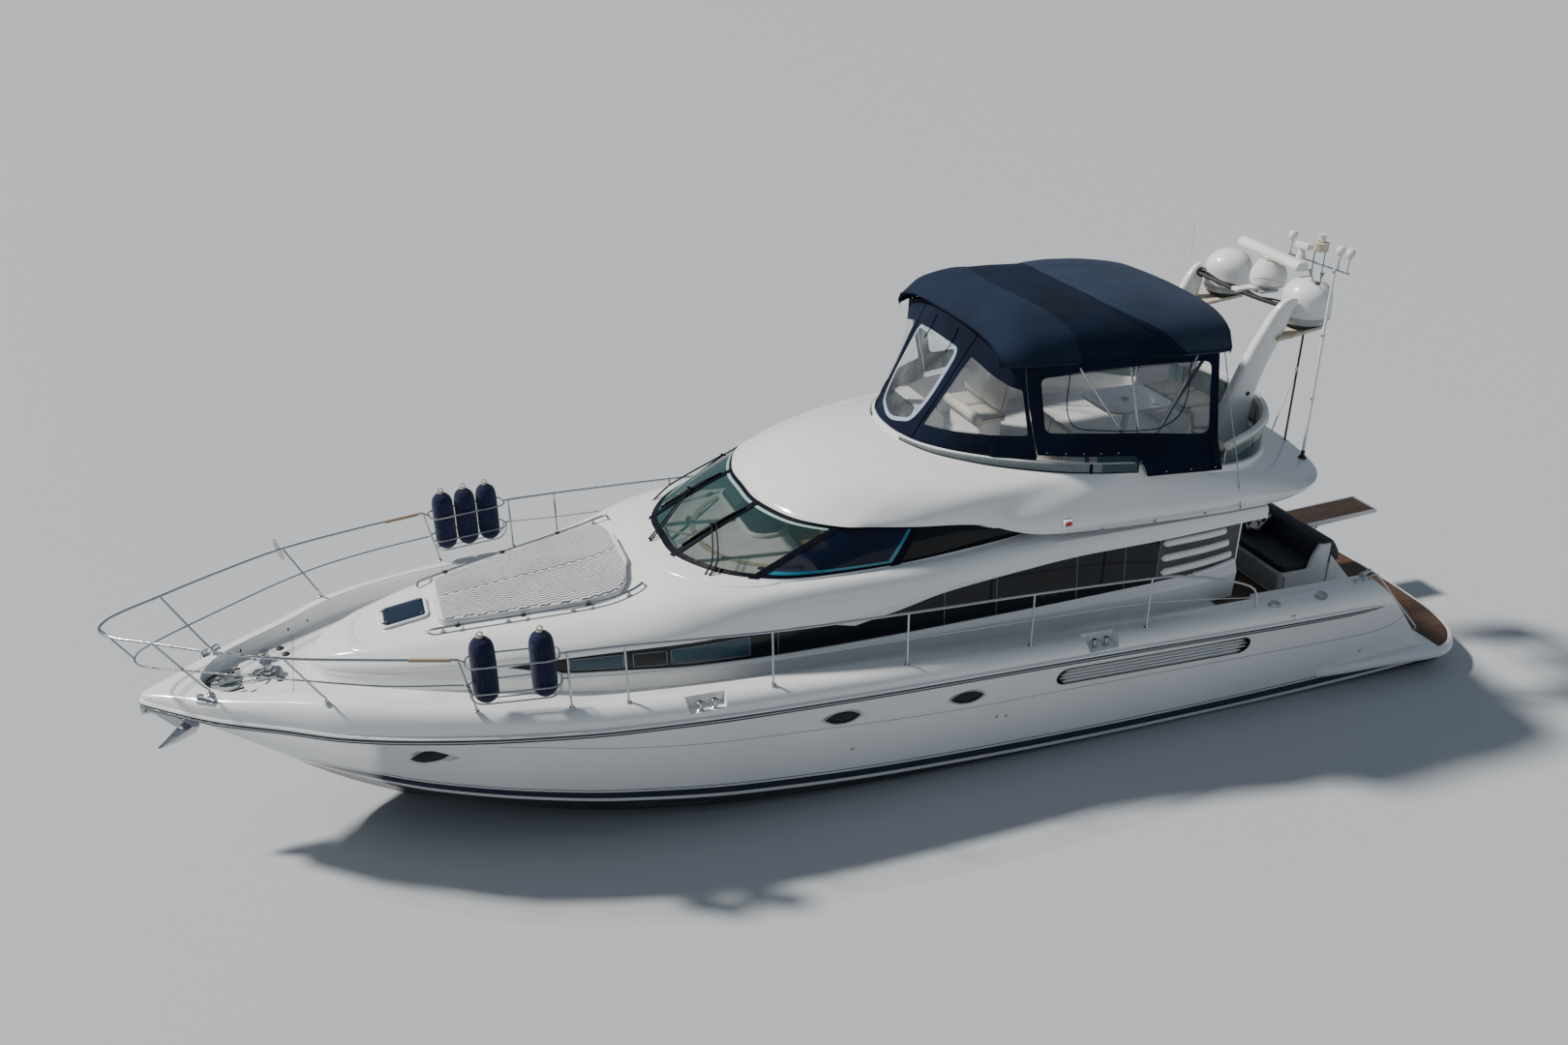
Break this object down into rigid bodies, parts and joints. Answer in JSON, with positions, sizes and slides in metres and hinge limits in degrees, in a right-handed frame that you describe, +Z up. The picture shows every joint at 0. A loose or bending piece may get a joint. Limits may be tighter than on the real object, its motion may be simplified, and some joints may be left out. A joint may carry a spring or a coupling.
{
  "type": "flybridge motor yacht",
  "caption": "Flybridge motor yacht afloat: planing hull, saloon with raked screen, canopied flybridge, radar mast, cockpit, swim platform and twin shafts.",
  "frame": {"origin": "on the centreline at the waterline, amidships", "axes": "+X towards the bow, +Y to port, +Z up"},
  "size_m": [18.0733, 4.974, 7.6254],
  "materials": {
    "gelcoat": "glossy white gelcoat on glass-fibre mouldings",
    "rubber": "black rubber and black painted frames",
    "wheel_leather": "black stitched steering-wheel rim",
    "engine_grey": "grey painted engine",
    "dark_glass": "dark tinted window glass",
    "clear_glass": "clear glass with a faint green tint",
    "teak": "laid teak with dark seams",
    "cream_vinyl": "cream marine upholstery",
    "navy_vinyl": "navy marine upholstery",
    "fender_cover": "navy knitted fender cover",
    "canvas": "navy acrylic canvas",
    "sunpad_fabric": "woven outdoor fabric with grey wavy stripes",
    "stainless": "polished stainless steel",
    "bronze": "manganese bronze",
    "dome_white": "glossy white moulded housings"
  },
  "bodies": {
    "yacht": {"hull": "gelcoat", "swim_platform": "gelcoat", "deckhouse": "gelcoat", "roof": "gelcoat", "salon_bulkhead": "gelcoat", "fly_console": "gelcoat", "fly_table": "gelcoat", "mast_leg_port": "gelcoat", "mast_leg_starboard": "gelcoat", "rub_rail": "rubber", "windscreen_frame": "rubber", "engine_port": "engine_grey", "engine_starboard": "engine_grey", "side_glass_port": "dark_glass", "side_glass_starboard": "dark_glass", "windscreen_centre": "clear_glass", "windscreen_port": "clear_glass", "windscreen_starboard": "clear_glass", "cockpit_sole": "teak", "dash": "cream_vinyl", "helm_seat": "cream_vinyl", "fly_lounge": "cream_vinyl", "fly_settee": "cream_vinyl", "fly_rail": "cream_vinyl", "cockpit_sofa": "navy_vinyl", "fly_chairs": "navy_vinyl", "fender_port_1": "fender_cover", "fender_port_2": "fender_cover", "fender_starboard_1": "fender_cover", "fender_starboard_2": "fender_cover", "fender_starboard_3": "fender_cover", "canopy": "canvas", "curtain_front": "canvas", "curtain_port": "canvas", "curtain_starboard": "canvas", "sunpad": "sunpad_fabric", "rail_port": "stainless", "rail_starboard": "stainless", "bimini_frame": "stainless", "windlass": "stainless", "anchor": "stainless", "shaft_port": "stainless", "shaft_starboard": "stainless", "mast_bridge": "dome_white", "dome_port": "dome_white", "dome_starboard": "dome_white", "antenna_pole": "dome_white", "whip_starboard": "dome_white"},
    "propeller_port": {"propeller_port": "bronze"},
    "propeller_starboard": {"propeller_starboard": "bronze"},
    "rudder_port": {"rudder_port": "bronze"},
    "rudder_starboard": {"rudder_starboard": "bronze"},
    "radar_bar": {"radar_bar": "dome_white"},
    "hatch_lid": {"hatch_lid": "dark_glass"},
    "salon_door": {"salon_door": "clear_glass"},
    "passerelle": {"passerelle": "teak"},
    "passerelle_strut": {"passerelle_strut": "stainless"},
    "helm_wheel": {"helm_wheel": "wheel_leather"},
    "fly_wheel": {"fly_wheel": "wheel_leather"}
  },
  "joints": [
    {"name": "propeller_port_spin", "type": "hinge", "parent": "yacht", "child": "propeller_port", "pos_m": [-6.95, 0.9, -0.9], "axis": [0.9863, 0, 0.165], "continuous": true},
    {"name": "propeller_starboard_spin", "type": "hinge", "parent": "yacht", "child": "propeller_starboard", "pos_m": [-6.95, -0.9, -0.9], "axis": [0.9863, 0, 0.165], "continuous": true},
    {"name": "radar_spin", "type": "hinge", "parent": "yacht", "child": "radar_bar", "pos_m": [-6.2, 0, 5.8], "axis": [0, 0, 1], "continuous": true},
    {"name": "rudder_port_turn", "type": "hinge", "parent": "yacht", "child": "rudder_port", "pos_m": [-7.7, 0.85, -0.6], "axis": [0, 0, 1], "range_deg": [-35, 35]},
    {"name": "rudder_starboard_turn", "type": "hinge", "parent": "yacht", "child": "rudder_starboard", "pos_m": [-7.7, -0.85, -0.6], "axis": [0, 0, 1], "range_deg": [-35, 35]},
    {"name": "helm_wheel_turn", "type": "hinge", "parent": "yacht", "child": "helm_wheel", "pos_m": [0.77, -0.85, 2.62], "axis": [1, 0, 0], "range_deg": [-530, 530]},
    {"name": "fly_wheel_turn", "type": "hinge", "parent": "yacht", "child": "fly_wheel", "pos_m": [-1.503, -0.62, 3.9], "axis": [1, 0, 0], "range_deg": [-530, 530]},
    {"name": "hatch_hinge", "type": "hinge", "parent": "yacht", "child": "hatch_lid", "pos_m": [5.96, 0, 2.505], "axis": [0, 1, 0], "range_deg": [0, 60]},
    {"name": "salon_door_slide", "type": "slide", "parent": "yacht", "child": "salon_door", "axis": [0, 1, 0], "range_m": [0, 0.93]},
    {"name": "passerelle_tilt", "type": "hinge", "parent": "yacht", "child": "passerelle", "pos_m": [-7.52, -0.475, 1.29], "axis": [0, 1, 0], "range_deg": [-4, 17]},
    {"name": "passerelle_strut_swing", "type": "hinge", "parent": "yacht", "child": "passerelle_strut", "pos_m": [-7.86, -0.475, 0.8], "axis": [0, 1, 0], "range_deg": [-5, 18]}
  ],
  "couplings": [
    {"joint": "rudder_starboard_turn", "follows": "rudder_port_turn", "ratio": 1},
    {"joint": "helm_wheel_turn", "follows": "rudder_port_turn", "ratio": 15},
    {"joint": "fly_wheel_turn", "follows": "rudder_port_turn", "ratio": 15},
    {"joint": "passerelle_strut_swing", "follows": "passerelle_tilt", "ratio": 1.03}
  ]
}
